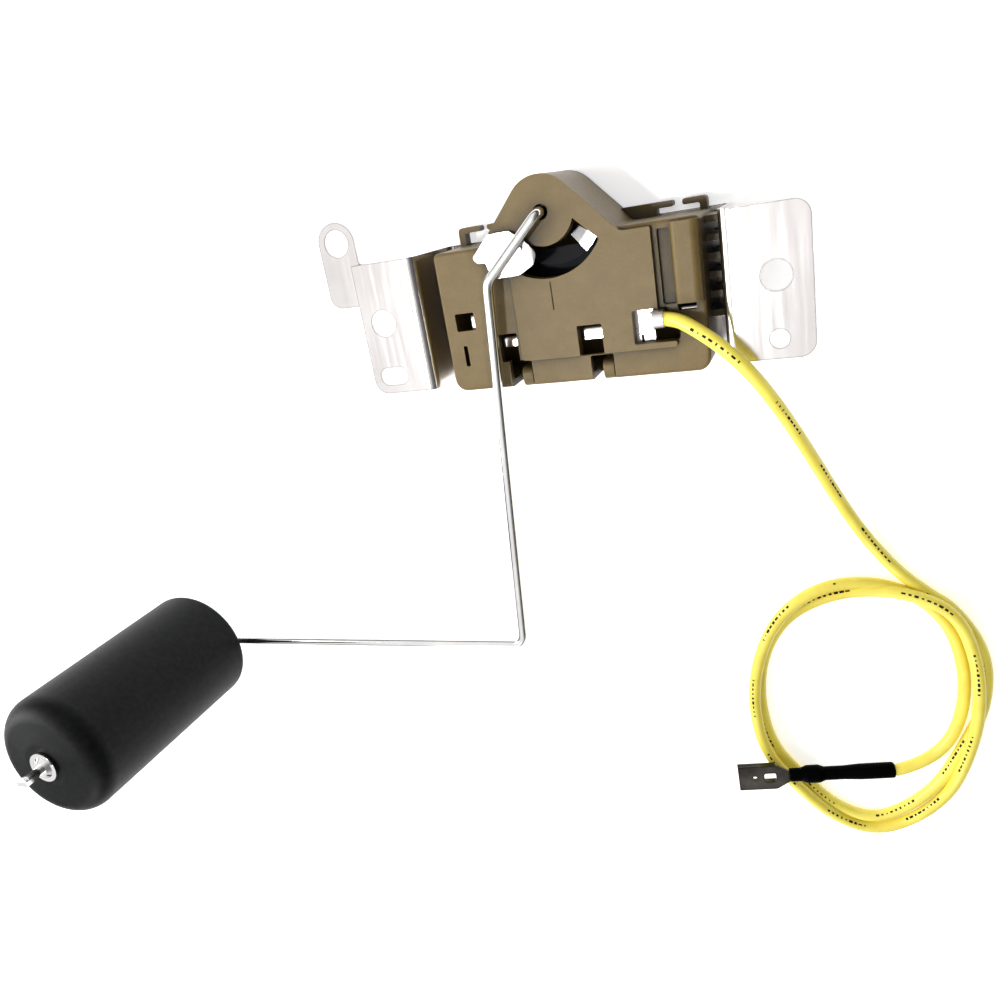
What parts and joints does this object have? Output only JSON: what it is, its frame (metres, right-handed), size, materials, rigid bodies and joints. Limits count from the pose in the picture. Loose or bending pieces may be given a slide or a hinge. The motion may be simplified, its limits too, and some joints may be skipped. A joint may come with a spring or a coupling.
{
  "type": "fuel level sender",
  "caption": "Fuel level sender: folded steel bracket, moulded sensor housing, bent wire arm with a foam float, and a coiled lead with a blade terminal.",
  "frame": {"origin": "midway between the two wing screw holes, on the bracket's back face", "axes": "X along the bracket, +Y up the housing towards the pivot, +Z out of the front, along the screws and the pivot"},
  "size_m": [0.2365, 0.1769, 0.0869],
  "materials": {
    "plated_steel": "satin plated",
    "bright_steel": "bright drawn",
    "tan_moulding": "smooth moulded",
    "white_moulding": "smooth moulded",
    "card_ceramic": "printed ceramic",
    "brass": "satin",
    "tinned_brass": "dull tinned",
    "black_foam": "matte closed-cell foam",
    "yellow_insulation": "satin extruded",
    "black_sleeve": "satin shrink tube"
  },
  "bodies": {
    "mount": {"mounting_bracket": "plated_steel", "sensor_housing": "tan_moulding", "rear_carrier": "tan_moulding", "resistor_card": "card_ceramic", "card_rivets": "brass", "ground_strap": "brass", "signal_lug": "tinned_brass", "lead_run": "yellow_insulation", "lead_coil": "yellow_insulation", "lead_tail": "yellow_insulation", "shrink_sleeve": "black_sleeve", "blade_terminal": "tinned_brass"},
    "arm": {"float_arm": "bright_steel", "rotor_plate": "plated_steel", "rotor_hub": "white_moulding", "wiper_plate": "bright_steel", "wiper_contacts": "brass", "float_push_nut": "bright_steel"},
    "float": {"float": "black_foam"}
  },
  "joints": [
    {"name": "arm_pivot", "type": "hinge", "parent": "mount", "child": "arm", "pos_m": [-0.0022, 0.0189, 0], "axis": [0, 0, -1], "range_deg": [-15, 60]},
    {"name": "float_spin", "type": "hinge", "parent": "arm", "child": "float", "pos_m": [-0.1328, -0.0908, 0.02], "axis": [0, 0, 1], "continuous": true}
  ]
}
